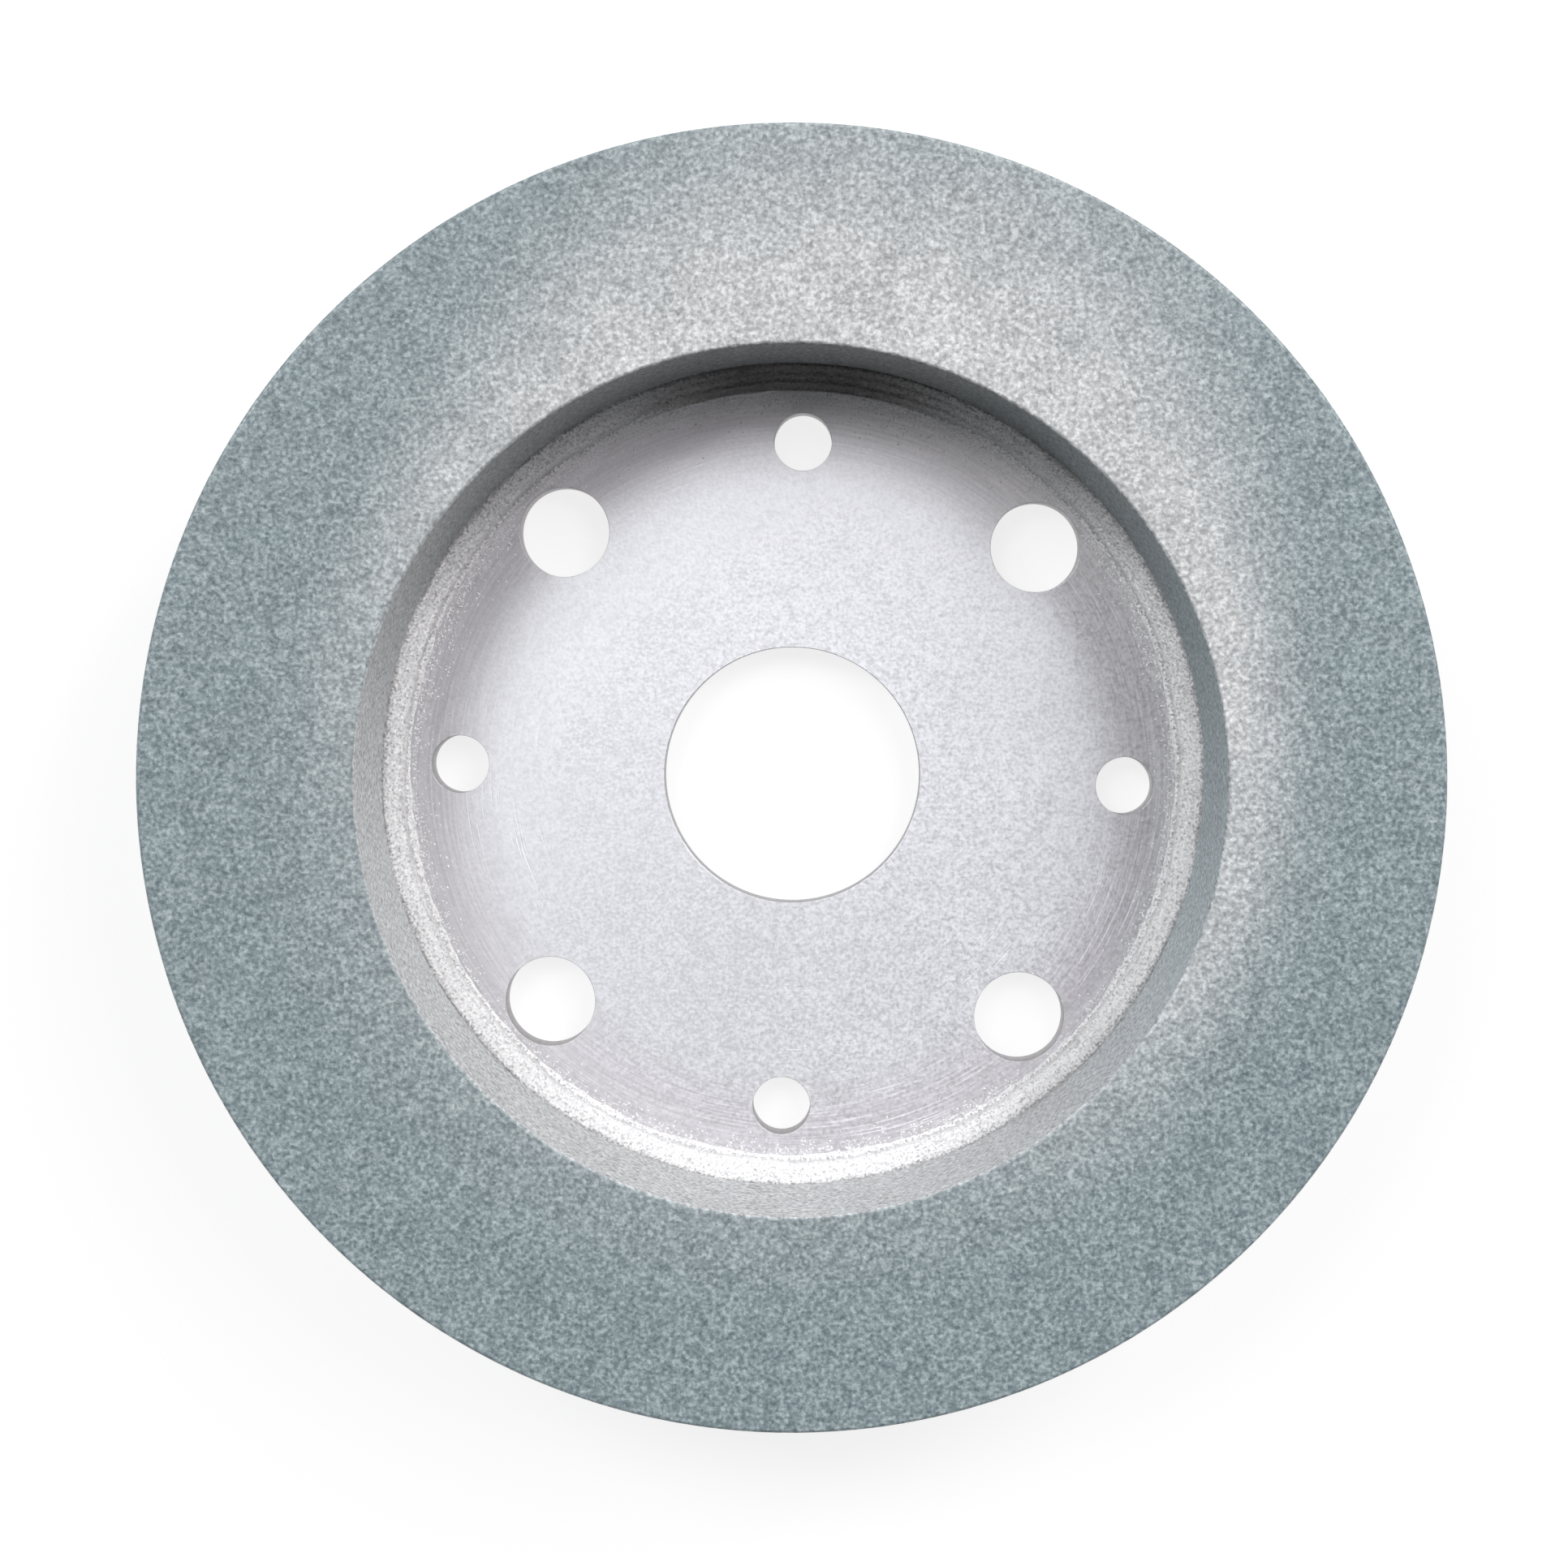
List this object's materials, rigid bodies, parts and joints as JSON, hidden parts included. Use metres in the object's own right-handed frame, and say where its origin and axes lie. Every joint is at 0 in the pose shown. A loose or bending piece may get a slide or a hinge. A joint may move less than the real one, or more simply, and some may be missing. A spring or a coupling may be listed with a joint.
{
  "type": "plate-mounted grinding wheel",
  "caption": "Straight ring of green silicon carbide cemented on a drilled round steel plate, for face grinding on a flange spindle.",
  "frame": {"origin": "centre of the plate's back face, which seats on the machine's flange", "axes": "+Z along the spindle axis, from the plate's back face to the grinding face; the small bolt holes lie on +X, +Y, -X and -Y"},
  "size_m": [0.1524, 0.1524, 0.0312],
  "materials": {
    "green_abrasive": "rough bonded grit, green-grey",
    "steel_plate": "pale satin, finely grained, with fine scratches",
    "cement": "dull grey set cement",
    "cement_bead": "rough pale bead with loose grit"
  },
  "bodies": {
    "root": {"backing_plate": "steel_plate", "cement_bed": "cement", "inner_cement_fillet": "cement_bead", "outer_cement_fillet": "cement", "abrasive_ring": "green_abrasive"}
  },
  "joints": []
}
